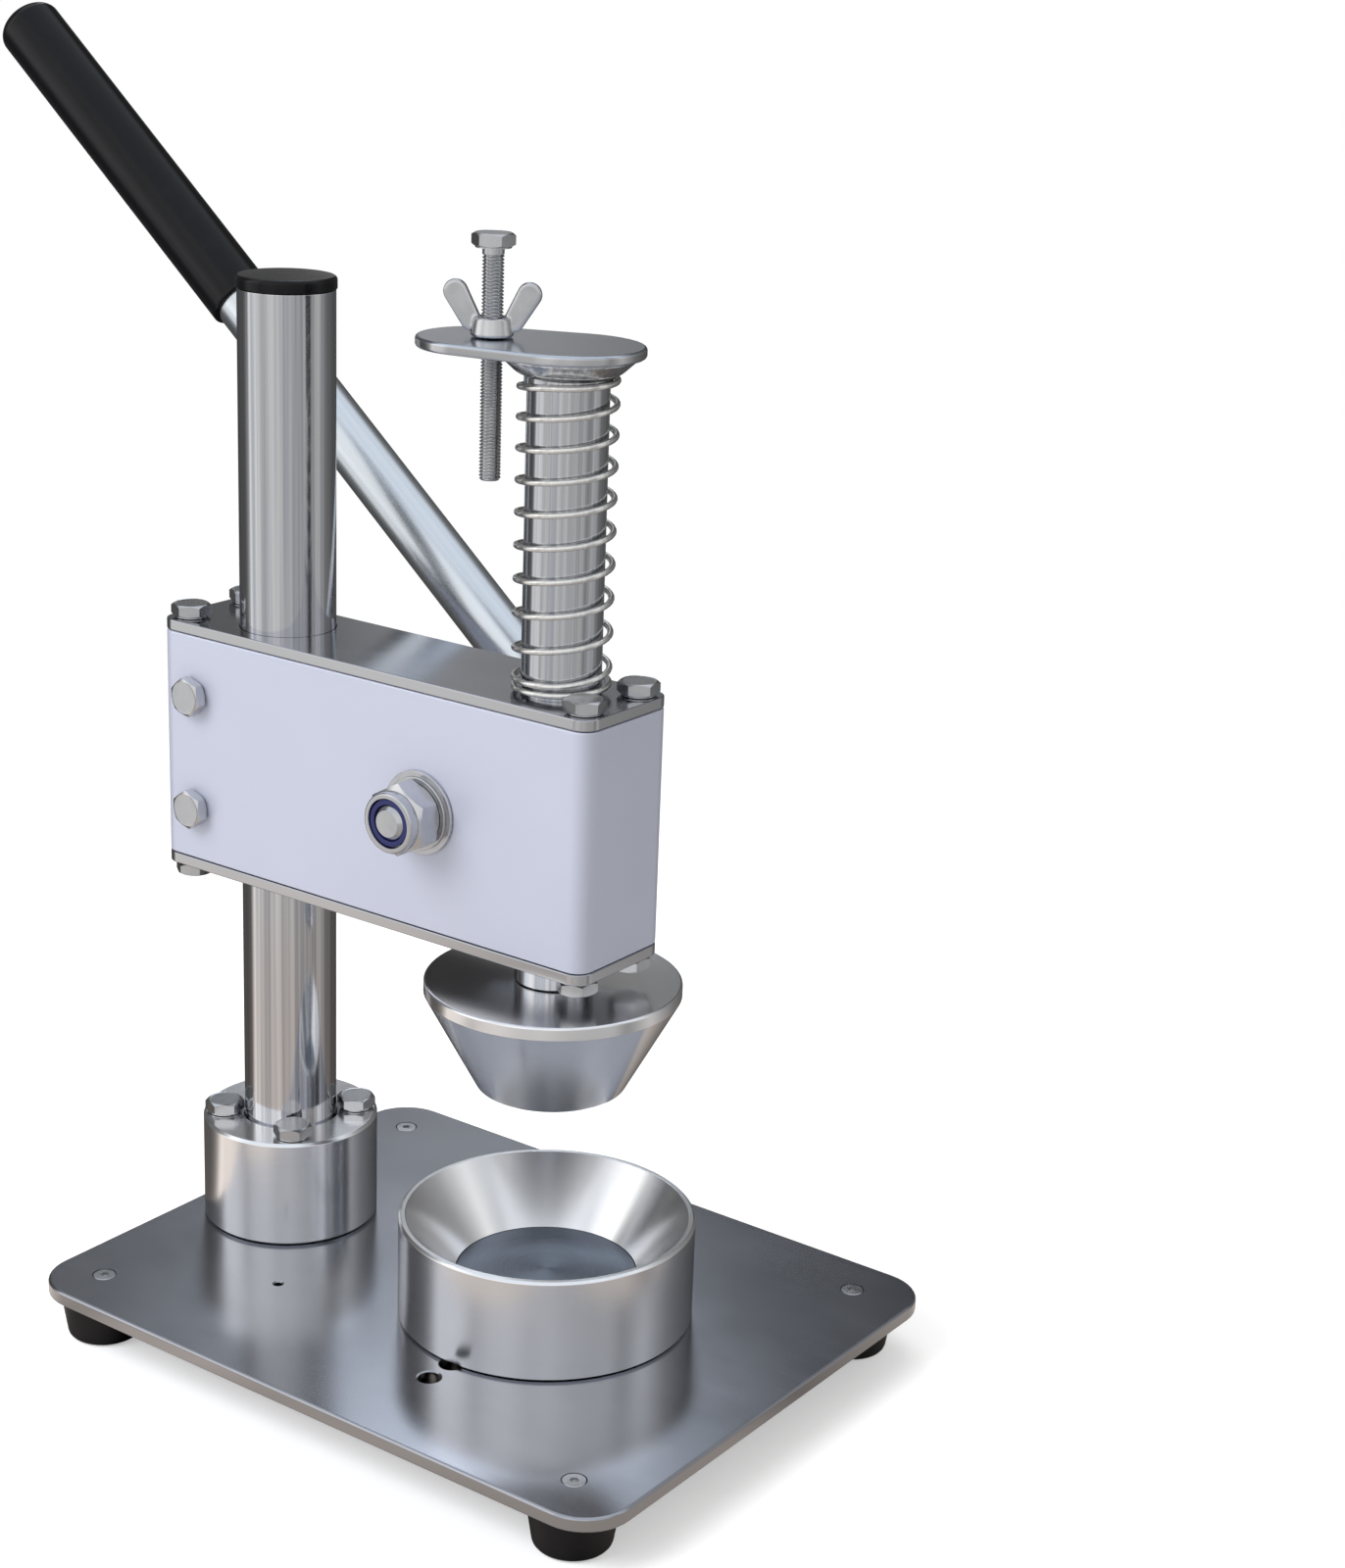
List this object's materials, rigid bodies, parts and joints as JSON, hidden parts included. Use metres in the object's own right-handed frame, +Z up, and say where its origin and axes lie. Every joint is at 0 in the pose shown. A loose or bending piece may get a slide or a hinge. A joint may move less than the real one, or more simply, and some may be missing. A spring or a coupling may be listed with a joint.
{
  "type": "tartlet shell press",
  "caption": "Bench press with a round column, a clamped head, a hand lever, a rack-driven conical punch with a return spring and a matching die.",
  "frame": {"origin": "below the middle of the whole press, on the surface that its feet stand on", "axes": "+X from the column towards the punch, +Y away from the lock nut side and towards the lever, +Z up"},
  "size_m": [0.4886, 0.227, 0.5061],
  "materials": {
    "base_steel": "satin",
    "disc_steel": "satin",
    "foot_rubber": "matte",
    "fastener_steel": "satin",
    "turned_aluminium": "polished",
    "bright_steel": "polished",
    "black_plastic": "gloss",
    "housing_aluminium": "satin",
    "cover_steel": "satin",
    "bush_bronze": "satin",
    "spring_steel": "polished",
    "nut_nylon": "satin",
    "hub_steel": "satin",
    "plate_steel": "polished"
  },
  "bodies": {
    "base": {"base_plate": "base_steel", "foot_rear_near": "foot_rubber", "foot_rear_far": "foot_rubber", "foot_front_near": "foot_rubber", "foot_front_far": "foot_rubber", "foot_screw_rear_near": "fastener_steel", "foot_screw_rear_far": "fastener_steel", "foot_screw_front_near": "fastener_steel", "foot_screw_front_far": "fastener_steel", "column_collar": "turned_aluminium", "collar_bolt_1": "fastener_steel", "collar_bolt_2": "fastener_steel", "collar_bolt_3": "fastener_steel", "collar_bolt_4": "fastener_steel", "column_tube": "bright_steel", "column_cap": "black_plastic", "die_ring": "turned_aluminium", "die_screw_front": "fastener_steel", "die_screw_rear": "fastener_steel"},
    "die_disc": {"die_floor": "disc_steel"},
    "head": {"housing": "housing_aluminium", "bottom_cover": "cover_steel", "top_cover": "cover_steel", "top_bolt_rear_near": "fastener_steel", "top_bolt_rear_far": "fastener_steel", "top_bolt_front_near": "fastener_steel", "top_bolt_front_far": "fastener_steel", "bottom_bolt_rear_near": "fastener_steel", "bottom_bolt_rear_far": "fastener_steel", "bottom_bolt_front_near": "fastener_steel", "bottom_bolt_front_far": "fastener_steel", "clamp_bolt_upper": "fastener_steel", "clamp_bolt_lower": "fastener_steel", "clamp_nut_upper": "fastener_steel", "clamp_nut_lower": "fastener_steel", "shaft_bush_near": "bush_bronze", "shaft_bush_far": "bush_bronze", "ram_bush_upper": "bush_bronze", "ram_bush_lower": "bush_bronze", "return_spring": "spring_steel"},
    "lever": {"pinion": "fastener_steel", "pinion_key": "fastener_steel", "pivot_shaft": "fastener_steel", "shaft_washer": "fastener_steel", "lock_nut": "fastener_steel", "nut_insert": "nut_nylon", "hub_washer": "fastener_steel", "lever_hub": "hub_steel", "hub_pin": "fastener_steel", "lever_tube": "bright_steel", "lever_grip": "black_plastic"},
    "ram": {"ram": "bright_steel", "punch": "turned_aluminium", "punch_stud": "fastener_steel", "stop_plate": "plate_steel", "spring_collar": "bright_steel"},
    "stop_screw": {"stop_bolt": "fastener_steel"},
    "stop_nut": {"wing_nut": "fastener_steel"}
  },
  "joints": [
    {"name": "head_height", "type": "slide", "parent": "base", "child": "head", "axis": [0, 0, 1], "range_m": [-0.03, 0.1]},
    {"name": "lever_turn", "type": "hinge", "parent": "head", "child": "lever", "pos_m": [0.086, 0, 0.22905], "axis": [0, 1, 0], "range_deg": [0, 131.9]},
    {"name": "ram_press", "type": "slide", "parent": "head", "child": "ram", "axis": [0, 0, -1], "range_m": [0, 0.076], "stiffness_N_per_m": 720, "springref_m": -0.018, "deforming": ["return_spring"]},
    {"name": "stop_bolt_height", "type": "slide", "parent": "ram", "child": "stop_screw", "axis": [0, 0, 1], "range_m": [-0.011, 0.04]},
    {"name": "wing_nut_turn", "type": "hinge", "parent": "ram", "child": "stop_nut", "pos_m": [0.10327, -0.00852, 0.4092], "axis": [0, 0, 1], "continuous": true},
    {"name": "die_floor_lift", "type": "slide", "parent": "base", "child": "die_disc", "axis": [0, 0, 1], "range_m": [0, 0.05]}
  ],
  "couplings": [
    {"joint": "ram_press", "follows": "lever_turn", "m_per_rad": 0.033}
  ]
}
